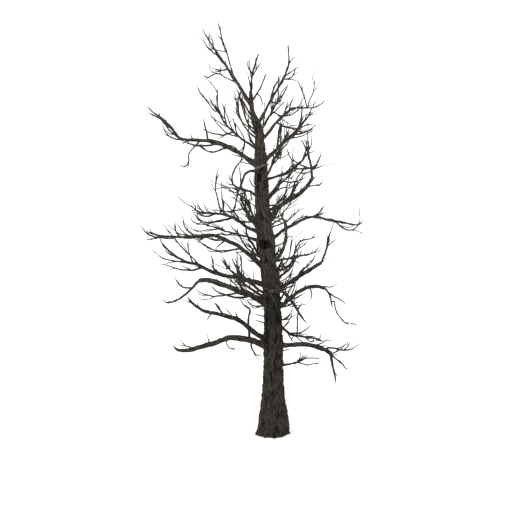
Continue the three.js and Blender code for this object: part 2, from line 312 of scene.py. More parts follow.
def finishTree(tree, given, result, geometry):
    relief = addNode(tree, "GeometryNodeGroup", node_tree=barkRelief)
    tree.links.new(geometry, relief.inputs["Geometry"])
    for name in ("Plate Width", "Plate Length", "Depth"):
        tree.links.new(given[name], relief.inputs[name])
    smooth = addNode(tree, "GeometryNodeSetShadeSmooth", {"Geometry": relief.outputs["Geometry"]})
    real = addNode(tree, "GeometryNodeRealizeInstances", {"Geometry": smooth.outputs["Geometry"]})
    clad = addNode(tree, "GeometryNodeSetMaterial", {
        "Geometry": real.outputs["Geometry"], "Material": given["Bark"]})
    tree.links.new(clad.outputs["Geometry"], result["Geometry"])


def buildTrunkSkin():
    tree, given, result = newGroup("trunkSkin", "GeometryNodeTree",
        [("Geometry", "Geometry"), *reliefSockets], [("Geometry", "Geometry")])
    finishTree(tree, given, result, given["Geometry"])
    return tree


def buildWoodTube():
    tree, given, result = newGroup("woodTube", "GeometryNodeTree",
        [("Geometry", "Geometry"), ("Sides", "Int", 6), *reliefSockets],
        [("Geometry", "Geometry")])
    curve = addNode(tree, "GeometryNodeMeshToCurve", {"Mesh": given["Geometry"]}).outputs["Curve"]
    ring = addNode(tree, "GeometryNodeCurvePrimitiveCircle", {
        "Resolution": given["Sides"], "Radius": 1.0}).outputs["Curve"]
    share = addNode(tree, "GeometryNodeSplineParameter").outputs["Factor"]
    ring = storeValue(tree, ring, "around", share)
    tube = addNode(tree, "GeometryNodeCurveToMesh", {
        "Curve": curve, "Profile Curve": ring, "Scale": stored(tree, "girth"), "Fill Caps": True})
    finishTree(tree, given, result, tube.outputs["Mesh"])
    return tree


trunkSkin = buildTrunkSkin()
woodTube = buildWoodTube()


def putInScene(name, data):
    thing = bpy.data.objects.new(name, data)
    bpy.context.scene.collection.objects.link(thing)
    return thing


def realized(name, mesh, tree, values):
    # runs a geometry node tree over a mesh and keeps the result as a plain mesh
    source = putInScene(name + "Source", mesh)
    modifier = source.modifiers.new("grow", "NODES")
    modifier.node_group = tree
    for item in tree.interface.items_tree:
        if item.item_type == "SOCKET" and item.in_out == "INPUT" and item.name in values:
            modifier[item.identifier] = values[item.name]
    graph = bpy.context.evaluated_depsgraph_get()
    plain = bpy.data.meshes.new_from_object(source.evaluated_get(graph))
    plain.name = name
    bpy.data.objects.remove(source)
    return putInScene(name, plain)


def skinValues(shape):
    return {"Sides": shape["sides"], "Depth": shape["relief"], "Plate Width": shape["plateWidth"],
            "Plate Length": shape["plateLength"], "Bark": materials[shape["bark"]]}


def triangleCount(piece):
    piece.data.calc_loop_triangles()
    return len(piece.data.loop_triangles)


# limb axes, worked out from the frame's solids
axisReading = {"fewestSides": 5, "fewestRings": 3, "mergePlaces": 5, "tipShare": 0.4, "step": 0.05}


def mergedNode(node):
    corners = np.empty(len(node.data.vertices) * 3)
    node.data.vertices.foreach_get("co", corners)
    corners = corners.reshape(-1, 3).round(axisReading["mergePlaces"])
    points, index = np.unique(corners, axis=0, return_inverse=True)
    index = index.ravel()
    links = [set() for _ in points]
    for face in node.data.polygons:
        a, b, c = (int(index[v]) for v in face.vertices)
        links[a] |= {b, c}
        links[b] |= {a, c}
        links[c] |= {a, b}
    return points, links


def ringsFrom(tip, links):
    # rings of vertices, step by step from the tip, while each is as long as the first
    sides = len(links[tip])
    rings = []
    seen = {tip}
    edge = [tip]
    while True:
        edge = sorted({b for a in edge for b in links[a]} - seen)
        if len(edge) != sides:
            return rings
        seen |= set(edge)
        rings.append(edge)


def readAxis(node):
    points, links = mergedNode(node)
    best = None
    for tip, near in enumerate(links):
        if len(near) < axisReading["fewestSides"]:
            continue
        rings = ringsFrom(tip, links)
        if len(rings) < axisReading["fewestRings"]:
            continue
        middles = np.array([points[ring].mean(0) for ring in rings])
        radii = np.array([np.linalg.norm(points[ring] - middle, axis=1).mean()
                          for ring, middle in zip(rings, middles)])
        if radii[0] > radii[-1]:
            continue
        if best is None or len(rings) > best[0]:
            best = (len(rings), tip, middles, radii)
    count, tip, middles, radii = best
    path = np.vstack([middles[::-1], points[tip]])
    return path, np.append(radii[::-1], radii[0] * axisReading["tipShare"])


axes = {name: readAxis(node) for name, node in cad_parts.items()}
print("axes read:", len(axes))


# a strand is a path of points with a radius at each
def smoothStrand(path, radii, spacing):
    # Catmull-Rom through the path, evenly cut
    ends = np.vstack([2 * path[0] - path[1], path, 2 * path[-1] - path[-2]])
    points = []
    thickness = []
    for i in range(len(path) - 1):
        a, b, c, d = ends[i:i + 4]
        cuts = max(1, round(float(np.linalg.norm(c - b)) / spacing))
        for t in np.arange(cuts) / cuts:
            points.append(0.5 * (2 * b + (c - a) * t + (2 * a - 5 * b + 4 * c - d) * t ** 2
                                 + (3 * b - a - 3 * c + d) * t ** 3))
            thickness.append(radii[i] + (radii[i + 1] - radii[i]) * t)
    points.append(path[-1])
    thickness.append(radii[-1])
    return np.array(points), np.array(thickness)


def storeOnPoints(mesh, name, values):
    attribute = mesh.attributes.new(name, "FLOAT", "POINT")
    attribute.data.foreach_set("value", values.astype(np.float32))


def arcLengths(points):
    return np.concatenate([[0.0], np.cumsum(np.linalg.norm(np.diff(points, axis=0), axis=1))])


# limbs and twigs are paler higher up: heights in m, then lightness
bleaching = [(4.0, 6.5, 11.0), (1.1, 1.4, 1.75)]
# the run of length that keeps the grain of one strand apart from the next
grainGap = 3.7


def strandMesh(name, strands):
    # one mesh of edges, with the girth, the run of length and the tone stored at each point
    points = np.vstack([strand["points"] for strand in strands])
    girths = np.concatenate([strand["radii"] for strand in strands])
    edges = []
    runs = []
    first = 0
    run = 0.0
    for strand in strands:
        count = len(strand["points"])
        edges += [(first + i, first + i + 1) for i in range(count - 1)]
        arc = arcLengths(strand["points"])
        runs.append(arc + run)
        run += arc[-1] + grainGap
        first += count
    pale = [np.full(len(strand["points"]), strand.get("pale", 1.0)) for strand in strands]
    tones = np.interp(points[:, 2], *bleaching) * np.concatenate(pale)
    mesh = bpy.data.meshes.new(name)
    mesh.from_pydata(points.tolist(), edges, [])
    for label, values in (("girth", girths), ("along", np.concatenate(runs)), ("tone", tones)):
        storeOnPoints(mesh, label, values)
    return mesh


# trunk
trunkShape = {
    "sides": 184, "rings": 520, "shortestRing": 0.45, "tipHeight": 0.02, "tipGirth": 0.01,
    "plateWidth": 0.055, "plateLength": 0.42, "relief": 0.045, "bark": "oldBark",
    "lobes": 5, "lobeDepth": 0.075, "lobeFade": 0.55, "lobeTurn": 0.5, "lobeSway": 0.7,
    "grain": (2.6, 0.28), "flutes": 0.026, "leastFlutes": 0.4, "swell": 0.06,
    "swellStretch": (0.35, 0.35, 2.2), "toeReach": 0.12, "toeFade": 0.1, "toeStretch": (3.4, 3.4, 0.0),
    "deepestToe": -0.25, "footSpread": -0.01, "collarGrowth": 0.3, "collarSpread": 1.6, "collarTall": 1.5,
}
# lightness of the bark: painted shade under the lowest thick boughs, where they shade the trunk, and lighter
# higher up: heights in m, then lightness
trunkToneAndShade = [(3.25, 4.25, 5.3, 5.5, 6.9), (0.88, 0.54, 0.54, 0.76, 1.28)]
# bearings are in degrees from +X, turning left, and the viewer's side is at -90
# hollows: height in m and bearing, then half width, half height, depth and collar in m
trunkHollows = [
    (7.25, -118, 0.27, 0.19, 0.34, 0.06),
    (9.82, -115, 0.14, 0.16, 0.16, 0.04),
    (3.45, -128, 0.07, 0.13, 0.07, 0.03),
    (5.4, 62, 0.1, 0.16, 0.1, 0.03),
    (8.7, 140, 0.08, 0.12, 0.09, 0.03),
]
# how the trunk's hollows are cut: where the rim stands, and where the mouth and the painted shade inside
# begin, in shares of the size
hollowShape = {"rimAt": 1.3, "rimWidth": 0.4, "mouth": 1.15, "bowl": 0.6, "shadeFrom": 1.1, "shadeBlend": 0.25}
# the ends of the roots at the ground: bearing, then reach and half width in m; the right side tucks in
trunkToes = [(-118, 0.15, 0.07), (-88, 0.19, 0.06), (-172, 0.05, 0.09), (-14, -0.1, 0.3), (52, 0.12, 0.1),
             (104, 0.15, 0.11), (142, 0.1, 0.08)]
trunkPath, trunkRadii = axes["trunk"]


def trunkAt(height):
    middle = [np.interp(height, trunkPath[:, 2], trunkPath[:, k]) for k in (0, 1)]
    return np.array([*middle, height]), float(np.interp(height, trunkPath[:, 2], trunkRadii))


def smoothNoise(places, seed):
    return np.array([noise.noise(Vector(place) + Vector((seed, 0, 0))) for place in places])


def ringHeights():
    # closer rings where the trunk is thick and its foot spreads
    top = trunkPath[-1, 2]
    rough = np.linspace(0, 1, trunkShape["rings"])
    shares = rough * (trunkShape["shortestRing"] + (1 - trunkShape["shortestRing"]) * rough)
    return shares / shares[-1] * top


def angleGap(angles, bearing):
    return (angles - math.radians(bearing) + math.pi) % math.tau - math.pi


def trunkSurface(feet):
    shape = trunkShape
    sides = shape["sides"]
    heights = ringHeights()
    angles = np.arange(sides) / sides * math.tau
    fine, fineRadii = smoothStrand(trunkPath, trunkRadii, axisReading["step"])
    middleX = np.interp(heights, fine[:, 2], fine[:, 0])
    middleY = np.interp(heights, fine[:, 2], fine[:, 1])
    radius = np.interp(heights, fine[:, 2], fineRadii)
    turn, rise = np.meshgrid(angles, heights)
    out = np.repeat(radius[:, None], sides, axis=1)
    base = out.copy()
    # root lobes that die out upwards, and ragged toes at the very foot
    sway = shape["lobeTurn"] + shape["lobeSway"] * np.sin(turn * 2)
    lobes = np.cos(shape["lobes"] * turn + sway)
    out *= 1 + shape["lobeDepth"] * lobes * np.exp(-rise / shape["lobeFade"])
    across, upright = shape["grain"]
    places = np.stack([np.cos(turn) * across, np.sin(turn) * across, rise * upright], axis=-1).reshape(-1, 3)
    flutes = smoothNoise(places, seed=3.0).reshape(out.shape)
    swells = smoothNoise(places * shape["swellStretch"], seed=11.0).reshape(out.shape)
    toes = smoothNoise(places * shape["toeStretch"], seed=23.0).reshape(out.shape)
    out += flutes * shape["flutes"] * (shape["leastFlutes"] + base / base.max())
    out += swells * shape["swell"] * base
    spread = shape["footSpread"] + np.clip(toes, shape["deepestToe"], 1) * shape["toeReach"]
    for bearing, reach, halfWidth in trunkToes:
        spread += reach * np.exp(-(angleGap(turn, bearing) * base / halfWidth) ** 2)
    out += spread * np.exp(-rise / shape["toeFade"])
    # swellings round the feet of the limbs
    for foot, footRadius in feet:
        centre, _ = trunkAt(foot[2])
        bearing = math.degrees(math.atan2(foot[1] - centre[1], foot[0] - centre[0]))
        spread = footRadius * shape["collarSpread"]
        across = angleGap(turn, bearing) * base / spread
        upright = (rise - foot[2]) / (spread * shape["collarTall"])
        out += footRadius * shape["collarGrowth"] * np.exp(-(across ** 2 + upright ** 2))
    # painted shade inside the trunk's hollows, a mask that darkens the colour there
    dark = np.zeros_like(out)
    for height, bearing, halfWidth, halfHeight, depth, collar in trunkHollows:
        across = angleGap(turn, bearing) * base / halfWidth
        upright = (rise - height) / halfHeight
        far = np.sqrt(across ** 2 + upright ** 2)
        out += collar * np.exp(-((far - hollowShape["rimAt"]) / hollowShape["rimWidth"]) ** 2)
        out -= depth * np.clip(hollowShape["mouth"] - far, 0, 1) ** hollowShape["bowl"]
        dark = np.maximum(dark, np.clip((hollowShape["shadeFrom"] - far) / hollowShape["shadeBlend"], 0, 1))
    wide = [middle[:, None] + out * way(turn) for middle, way in ((middleX, np.cos), (middleY, np.sin))]
    points = np.stack([*wide, rise], axis=-1)
    return points, turn, rise, base, dark


def buildTrunk(feet):
    points, turn, rise, base, dark = trunkSurface(feet)
    rings, sides = turn.shape
    corners = points.reshape(-1, 3)
    lastRing = (rings - 1) * sides
    faces = []
    for ring in range(rings - 1):
        for side in range(sides):
            a = ring * sides + side
            b = ring * sides + (side + 1) % sides
            faces.append((a, b, b + sides, a + sides))
    tipPoint = len(corners)
    footPoint = tipPoint + 1
    tip = corners[lastRing:].mean(0) + (0, 0, trunkShape["tipHeight"])
    foot = (*corners[:sides, :2].mean(0), 0.0)
    for side in range(sides):
        faces.append((lastRing + side, lastRing + (side + 1) % sides, tipPoint))
        faces.append(((side + 1) % sides, side, footPoint))
    mesh = bpy.data.meshes.new("trunkForm")
    mesh.from_pydata([*corners.tolist(), tip.tolist(), foot], [], faces)
    grids = (("around", turn / math.tau, 0.0), ("along", rise, 0.0), ("girth", base, trunkShape["tipGirth"]),
              ("hollowShade", dark, 0.0), ("tone", np.interp(rise, *trunkToneAndShade), 1.0))
    for name, grid, ends in grids:
        storeOnPoints(mesh, name, np.append(grid.reshape(-1), [ends, ends]))
    piece = realized("trunkBark", mesh, trunkSkin, skinValues(trunkShape))
    # the cut at the ground stays flat
    for vertex in piece.data.vertices:
        if vertex.index < sides or vertex.index == footPoint or vertex.co.z < 0:
            vertex.co.z = 0.0
    return piece


# limbs
limbShape = {
    "sides": 14, "plateWidth": 0.03, "plateLength": 0.2, "relief": 0.011, "bark": "limbBark",
    "spacing": 0.038, "wobble": 0.25, "sway": 0.03, "wobbleRun": 0.7, "fineWobble": 0.4, "fineScale": 2.7,
    "easeIn": 0.5, "easeOut": 0.3, "knots": 0.2, "knotScale": 3.1, "collarSwell": 0.2, "bendSwell": 0.05,
    "collarRun": 0.13, "leastRadius": 0.027, "footGirth": 1.05, "lowAndHigh": (5.0, 9.0),
    "stoutness": (0.97, 1.1), "outwardGirth": (0.12, 0.5), "outwardRise": 1.5, "deepestFoot": 1.0,
    "footStep": 0.02, "buriedShare": 0.4, "pointRun": 0.26, "pointGirth": 0.25, "noisePlace": 5.1,
}


def carriersOf(name):
    # what a limb may stand on: an outer length on its limb, a fork on the limb or its outer length
    parts = name.split("_")
    if len(parts) == 2:
        return ["trunk"]
    base = "_".join(parts[:2])
    if parts[2] == "outer":
        return [base]
    return [other for other in (base, base + "_outer") if other in axes]


def nearestAxis(point, carriers):
    # the carrier whose surface is nearest
    best = None
    for name in carriers:
        fine, fineRadii = smoothAxes[name]
        gaps = np.linalg.norm(fine - point, axis=1)
        i = int(gaps.argmin())
        if best is None or gaps[i] - fineRadii[i] < best[0]:
            best = (gaps[i] - fineRadii[i], name, fine[i])
    return best[1:]


def buriedFoot(path, carrier, seat):
    # straight back from the limb's first ring into its carrier, or to the nearest place on its axis
    back = (path[0] - path[1]) / np.linalg.norm(path[0] - path[1])
    fine, fineRadii = smoothAxes[carrier]
    steps = path[0] + back * np.arange(0.0, limbShape["deepestFoot"], limbShape["footStep"])[:, None]
    gaps = np.linalg.norm(steps[:, None] - fine[None], axis=2)
    inside = (gaps / fineRadii).min(axis=1)
    if inside.min() < limbShape["buriedShare"]:
        return steps[int((inside < limbShape["buriedShare"]).argmax())]
    return seat


def pointedEnd(leftToGo):
    # wood keeps its girth almost to its end, then comes to a point
    return np.clip(leftToGo / limbShape["pointRun"], limbShape["pointGirth"], 1)


def limbStrand(name):
    path, radii = axes[name]
    carrier, seat = nearestAxis(path[0], carriersOf(name))
    foot = buriedFoot(path, carrier, seat)
    path = np.vstack([foot, path])
    radii = np.concatenate([[radii[0] * limbShape["footGirth"]], radii])
    points, thickness = smoothStrand(path, radii, limbShape["spacing"])
    arc = arcLengths(points)
    ease = np.clip(arc / limbShape["easeIn"], 0, 1) * np.clip((arc[-1] - arc) / limbShape["easeOut"], 0, 1)
    for i, point in enumerate(points):
        place = Vector(point) / limbShape["wobbleRun"] + Vector((len(name), limbShape["noisePlace"], 0))
        bend = np.array(noise.noise_vector(place))
        crook = np.array(noise.noise_vector(place * limbShape["fineScale"]))
        reach = limbShape["wobble"] * thickness[i] + limbShape["sway"]
        points[i] = point + (bend + limbShape["fineWobble"] * crook) * ease[i] * reach
    knots = np.array([noise.noise(Vector(point) * limbShape["knotScale"]) for point in points])
    buried = float(np.linalg.norm(path[1] - path[0]))
    swell = limbShape["bendSwell"] if name.endswith("_outer") else limbShape["collarSwell"]
    collar = swell * np.exp(-np.clip(arc - buried, 0, None) / limbShape["collarRun"])
    lowness = float(np.interp(path[1][2], limbShape["lowAndHigh"], (1, 0)))
    stout = np.interp(lowness, (0, 1), limbShape["stoutness"])
    outward = np.interp(lowness, (0, 1), limbShape["outwardGirth"])
    outward = outward * (arc / arc[-1]) ** limbShape["outwardRise"]
    thickness = thickness * stout * (1 + outward) * (1 + limbShape["knots"] * knots * ease + collar)
    if not any(other.startswith(name + "_outer") for other in axes):
        thickness = np.maximum(thickness, limbShape["leastRadius"]) * pointedEnd(arc[-1] - arc)
    return {"points": points, "radii": thickness, "name": name, "carrier": carrier,
            "footPlace": path[1], "footRadius": float(radii[1]), "buried": buried}


smoothAxes = {name: smoothStrand(path, radii, axisReading["step"]) for name, (path, radii) in axes.items()}
limbs = {name: limbStrand(name) for name in sorted(axes) if name != "trunk"}
trunkFeet = [(limb["footPlace"], limb["footRadius"]) for limb in limbs.values()
             if limb["carrier"] == "trunk"]
trunkBark = buildTrunk(trunkFeet)
print("trunk:", triangleCount(trunkBark), "triangles,", len(trunkFeet), "limb feet")


# how a side branch runs: degrees of rise at its foot and tip, its length in m, and how late it turns
branchManners = {
    "upright": ((50, 80), (62, 96), (0.7, 1.5), 1.0),
    "hooked": ((-5, 32), (55, 88), (0.7, 1.3), 1.3),
    "under": ((-34, -10), (34, 64), (1.2, 1.9), 1.4),
    "level": ((-6, 18), (-4, 24), (0.5, 1.2), 1.0),
    "drooping": ((-50, -20), (-36, 4), (0.4, 0.95), 1.0),
    "hanging": ((-96, -66), (-88, -50), (0.6, 1.0), 1.0),
    "curled": ((-75, -35), (-215, -140), (0.6, 0.85), 1.0),
    "short": ((40, 85), (50, 90), (0.3, 0.55), 1.0),
}
# from where to where on a limb its side branches stand, and how they run, in order from its foot
limbBranches = {
    "left_1": (0.02, 0.8, "curled curled short hooked"),
    "left_2": (0.28, 0.85, "short upright drooping short"),
    "left_3": (0.1, 0.7, "under upright under short short"),
    "left_3_outer": (0.02, 0.3, "hooked"),
    "left_4": (0.3, 0.9, "hooked short"),
    "left_5": (0.3, 0.9, "hooked short"),
    "left_6": (0.12, 0.85, "upright hooked upright under upright under hooked"),
    "left_7": (0.08, 0.95, "under drooping under hooked hooked under hooked"),
    "left_8": (0.3, 0.9, "under hooked under level hooked"),
    "left_9": (0.3, 0.9, "under hooked under hooked"),
    "left_10": (0.25, 0.85, "under upright level hooked"),
    "left_10_fork": (0.3, 0.6, "upright"),
    "left_11": (0.3, 0.95, "upright upright hooked under"),
    "left_12": (0.35, 0.9, "hanging level hanging"),
    "left_13": (0.03, 0.8, "level level under level under upright level short under hooked hooked hooked"),
    "left_14": (0.08, 0.75, "hanging upright under upright upright level"),
    "left_15": (0.2, 0.8, "upright upright short"),
    "top_left": (0.02, 0.85, "curled upright drooping hooked short"),
    "top_left_fork": (0.25, 0.6, "hooked short"),
    "top_left_spur": (0.25, 0.5, "short"),
    "top_right": (0.02, 0.9, "curled short"),
    "right_1": (0.2, 0.9, "hooked level short level"),
    "right_2": (0.35, 0.95, "drooping level under"),
    "right_3": (0.15, 0.6, "level upright level"),
    "right_4": (0.25, 0.8, "short short curled"),
    "right_4_outer": (0.0, 0.25, "drooping"),
    "right_5": (0.2, 0.95, "upright short short"),
    "right_5_outer": (0.02, 0.4, "upright short"),
    "right_6": (0.15, 0.95, "short level short short drooping"),
    "right_7": (0.2, 0.8, "short drooping short"),
    "right_8": (0.25, 0.8, "upright hooked curled"),
    "right_9": (0.25, 0.8, "level short"),
    "right_10": (0.25, 0.8, "hooked level under drooping"),
    "right_11": (0.15, 0.85, "upright upright short level"),
    "right_11_outer": (0.02, 0.3, "hooked upright"),
    "right_12": (0.2, 0.8, "hooked under hooked under"),
    "right_13": (0.2, 0.8, "hooked under hanging hooked"),
    "right_14": (0.2, 0.8, "level under hooked"),
    "right_15": (0.08, 0.75, "upright upright short upright hooked upright hooked"),
    "right_16": (0.3, 0.95, "under upright level"),
    "right_16_outer": (0.25, 0.6, "upright short"),
    "right_17": (0.1, 0.7, "hooked under upright"),
    "right_18": (0.15, 0.6, "hooked short hooked"),
    "back_1": (0.2, 0.85, "under upright hooked short"),
    "back_2": (0.2, 0.85, "upright under hooked short"),
    "back_3": (0.2, 0.85, "hooked upright hooked short"),
    "back_4": (0.2, 0.85, "upright hooked short"),
    "back_5": (0.2, 0.85, "upright hooked short"),
}
sideHabit = {
    "swing": (12, 34), "wander": 7, "kink": 0.14, "tipGirth": 0.032, "fullness": 1.6,
    "girth": (0.058, 0.088), "placing": (0.2, 0.8), "footLength": 1.15, "shortening": 0.45,
    "leastGirth": 0.65, "girthGain": 0.35, "mostGirth": 1.2, "limbShare": 0.85, "trunkShare": 0.6,
    "sunk": 0.85, "trunkHook": 1.2, "cutBack": 0.75,
}
# shoots straight from the trunk, by zone: heights in m, bearings in degrees, how many, lengths and girths
# in m, and degrees of rise at the foot and at the tip
trunkZones = {
    "steepLeft": ((6.7, 9.1), (165, 235), 6, (1.2, 2.1), (0.075, 0.12), (35, 62), (84, 112)),
    "steepRight": ((5.8, 9.3), (-62, 50), 5, (0.9, 1.9), (0.055, 0.1), (20, 50), (64, 106)),
    "brushLeft": ((4.9, 5.9), (125, 245), 3, (1.3, 2.3), (0.055, 0.09), (8, 30), (35, 75)),
    "brushRight": ((4.7, 6.6), (-55, 55), 9, (0.7, 1.5), (0.04, 0.07), (-20, 50), (20, 96)),
    "lowRight": ((3.6, 5.3), (-35, 30), 5, (0.5, 1.2), (0.055, 0.09), (0, 60), (20, 90)),
    "leader": ((13.1, 14.1), (0, 360), 6, (0.55, 0.85), (0.042, 0.055), (30, 85), (60, 94)),
    "foot": ((3.0, 4.9), (-30, 210), 8, (0.35, 0.9), (0.035, 0.06), (-25, 35), (0, 62)),
    "allRound": ((5.4, 12.3), (-55, 235), 32, (0.6, 1.8), (0.036, 0.08), (0, 62), (45, 112)),
    "besideHollow": ((6.2, 7.5), (165, 225), 5, (0.7, 1.5), (0.06, 0.11), (-15, 40), (30, 110)),
    "underFork": ((10.6, 12.3), (150, 250), 6, (0.5, 1.0), (0.045, 0.08), (20, 60), (60, 100)),
    "brushUpRight": ((7.8, 8.8), (-55, 45), 6, (0.9, 1.6), (0.05, 0.09), (-5, 35), (60, 105)),
}


def outwardTo(bearing):
    return np.array([math.cos(bearing), math.sin(bearing), 0.0])


def headingOf(direction):
    flat = math.hypot(direction[0], direction[1])
    return math.atan2(direction[1], direction[0]), math.atan2(direction[2], flat)


shootShape = {"fewestSteps": 3, "sharpestTurn": 0.35, "driftKept": 0.8, "tiltKept": 0.75}


def growShoot(rng, start, bearing, footRise, tipRise, length, footRadius, habit):
    # the rise turns from foot to tip, mostly late, and the heading wanders at every kink
    rng = random.Random(rng.random())
    count = max(shootShape["fewestSteps"], round(length / habit["kink"]),
        round(abs(tipRise - footRise) / shootShape["sharpestTurn"]))
    points = [np.array(start, float)]
    drift = 0.0
    tilt = 0.0
    for i in range(count):
        share = ((i + 0.5) / count) ** habit["hook"]
        drift = shootShape["driftKept"] * drift + math.radians(rng.gauss(0, habit["wander"]))
        tilt = shootShape["tiltKept"] * tilt + math.radians(rng.gauss(0, habit["wander"]))
        rise = footRise + (tipRise - footRise) * share + tilt
        turned = bearing + drift
        step = (math.cos(rise) * math.cos(turned), math.cos(rise) * math.sin(turned), math.sin(rise))
        points.append(points[-1] + np.array(step) * (length / count))
    shares = np.linspace(0, 1, count + 1)
    tipRadius = min(habit["tipGirth"] / 2, footRadius)
    radii = tipRadius + (footRadius - tipRadius) * (1 - shares ** habit["fullness"])
    return {"points": np.array(points), "radii": radii * pointedEnd((1 - shares) * length)}


headingRun = 0.12        # how far to either side a strand's heading is read, in m
boxMargin = 0.05        # how far shoots may pass the box of the frame, in m


def drawAngle(rng, degrees):
    return math.radians(rng.uniform(*degrees))


def pointAlong(strand, share):
    arc = arcLengths(strand["points"])
    start = strand.get("buried", 0.0)
    reach = start + (arc[-1] - start) * share
    reaches = (max(reach - headingRun, 0), reach, min(reach + headingRun, arc[-1]))
    behind, place, ahead = np.transpose([np.interp(reaches, arc, strand["points"][:, k]) for k in range(3)])
    return place, ahead - behind, float(np.interp(reach, arc, strand["radii"]))


def inBox(points):
    return (points > np.array(cadLow) - boxMargin).all() and (points < np.array(cadHigh) + boxMargin).all()


def growInBox(rng, start, bearing, footRise, tipRise, length, footRadius, habit):
    # a shoot that leaves the box is drawn again, shorter
    while True:
        shoot = growShoot(rng, start, bearing, footRise, tipRise, length, footRadius, habit)
        if inBox(shoot["points"]):
            return shoot
        length *= habit["cutBack"]


def growLimbBranches(rng):
    grown = []
    for limbName, (start, end, manners) in limbBranches.items():
        manners = manners.split()
        side = rng.choice((-1, 1))
        for order, name in enumerate(manners):
            footRises, tipRises, lengths, hook = branchManners[name]
            share = start + (end - start) * (order + rng.uniform(*sideHabit["placing"])) / len(manners)
            place, direction, radius = pointAlong(limbs[limbName], share)
            bearing, _ = headingOf(direction)
            length = rng.uniform(*lengths)
            length *= sideHabit["footLength"] - sideHabit["shortening"] * share
            girth = rng.uniform(*sideHabit["girth"])
            girth *= min(sideHabit["mostGirth"], sideHabit["leastGirth"] + sideHabit["girthGain"] * length)
            bearing += side * drawAngle(rng, sideHabit["swing"])
            footRise = drawAngle(rng, footRises)
            tipRise = drawAngle(rng, tipRises)
            footRadius = min(girth / 2, radius * sideHabit["limbShare"])
            grown.append(growInBox(rng, place, bearing, footRise, tipRise, length, footRadius,
                {**sideHabit, "hook": hook}))
            side = -side
    return grown


def growTrunkShoots(rng):
    # evenly spread over each zone's bearings, at heights drawn by chance
    grown = []
    for zoneName, (heights, (low, high), count, lengths, girths, footRises, tipRises) in trunkZones.items():
        for order in range(count):
            height = rng.uniform(*heights)
            bearing = math.radians(low + (high - low) * (order + rng.random()) / count)
            centre, radius = trunkAt(height)
            footRise = drawAngle(rng, footRises)
            tipRise = drawAngle(rng, tipRises)
            length = rng.uniform(*lengths)
            footRadius = min(rng.uniform(*girths) / 2, radius * sideHabit["trunkShare"])
            start = centre + outwardTo(bearing) * radius * sideHabit["sunk"]
            shoot = growInBox(rng, start, bearing, footRise, tipRise, length, footRadius,
                {**sideHabit, "hook": sideHabit["trunkHook"]})
            grown.append({**shoot, "name": zoneName})
    return grown


# wood that lies across the front of the trunk, from end to end: heights in m, bearings in degrees and girths
# in m, then its sag in m, where it stands as a share of the trunk's radius, and its lightness
drapedWood = {
    "highCrossing": ((10.34, 10.1), (-22, -140), (0.1, 0.13), -0.03, 1.18, 1.6),
    "lowRidge": ((5.52, 5.6), (-28, -140), (0.19, 0.1), 0.06, 1.08, 1.5),
    "leftRunner": ((5.6, 3.9), (-140, -152), (0.07, 0.04), 0.0, 1.03, 1.6),
    "shortRunner": ((5.42, 4.95), (-94, -66), (0.06, 0.035), 0.02, 1.05, 1.7),
}
drapeShape = {"points": 14, "unevenness": 0.012}


def drapeStrand(rng, heights, bearings, girths, sag, stand, pale):
    points = []
    shares = np.linspace(0, 1, drapeShape["points"])
    for share in shares:
        height = np.interp(share, (0, 1), heights) - sag * math.sin(math.pi * share)
        height += rng.gauss(0, drapeShape["unevenness"])
        bearing = math.radians(float(np.interp(share, (0, 1), bearings)))
        centre, radius = trunkAt(height)
        points.append(centre + outwardTo(bearing) * radius * stand)
    return {"points": np.array(points), "radii": np.interp(shares, (0, 1), girths) / 2, "pale": pale}


chances = {"sideBranches": 41, "trunkShoots": 43, "draped": 47, "twigs": 7, "twiglets": 19}
limbSideStrands = growLimbBranches(random.Random(chances["sideBranches"]))
trunkShootStrands = growTrunkShoots(random.Random(chances["trunkShoots"]))
sideStrands = limbSideStrands + trunkShootStrands
drapeChance = random.Random(chances["draped"])
drapedStrands = [drapeStrand(drapeChance, *drape) for drape in drapedWood.values()]
print("side branches:", len(limbSideStrands), "and trunk shoots:", len(trunkShootStrands))

# how thickly a limb, or the shoots of a zone of the trunk, carry twigs: 1 where nothing is said
twigGrowth = {
    "left_1": 0.35, "left_1_riser": 0.5, "left_2": 0.45, "left_3": 0.8, "left_3_outer": 0.35, "left_6": 0.8,
    "left_7": 0.6, "left_8": 0.6, "left_10": 1.4, "left_11": 1.3, "left_12": 0.5, "left_13": 0.85,
    "left_14": 1.3, "left_15": 1.1, "right_1": 0.6, "right_2": 0.35, "right_2_outer": 0.5,
    "right_4_outer": 0.5, "right_6": 0.5, "right_7": 0.8, "right_10": 0.5, "right_13": 1.3, "right_14": 1.3,
    "right_15": 1.2, "right_16": 0.9, "right_17": 1.3, "right_18": 1.4, "top_left": 0.5, "top_right": 1.4,
    "steepLeft": 0.35, "foot": 0.6, "besideHollow": 0.5, "brushRight": 0.4,
}
# "every" is the mean gap in m from one twig to the next where that growth is 1
twigHabits = {
    "twigs": {"every": 0.46, "from": 0.12, "leastCarrier": 0.75, "longest": 1.95, "shortest": 0.5,
              "spread": (8, 32), "lift": (-26, 24), "tipRise": (25, 82), "droopRise": (-45, 15),
              "droopShare": 0.2, "wander": 8, "kink": 0.1, "hook": 1.7, "tipGirth": 0.024, "girth": 0.072,
              "fullness": 1.5},
    "twiglets": {"every": 0.66, "from": 0.3, "leastCarrier": 0.6, "longest": 0.7, "shortest": 0.25,
                 "spread": (15, 42), "lift": (-25, 30), "tipRise": (20, 85), "droopRise": (-60, 10),
                 "droopShare": 0.25, "wander": 9, "kink": 0.08, "hook": 1.4, "tipGirth": 0.02,
                 "girth": 0.046, "fullness": 1.5},
}
twigRules = {
    "until": 0.9, "gap": (0.5, 1.5), "reach": (0.35, 1.0), "footReach": 1.1, "shortening": 0.65,
    "carrierShare": 0.55, "girthShare": (0.7, 1.1), "mostGirth": 0.7, "tries": 3, "cutBack": 0.7,
    "trunkClearance": 0.95,
}
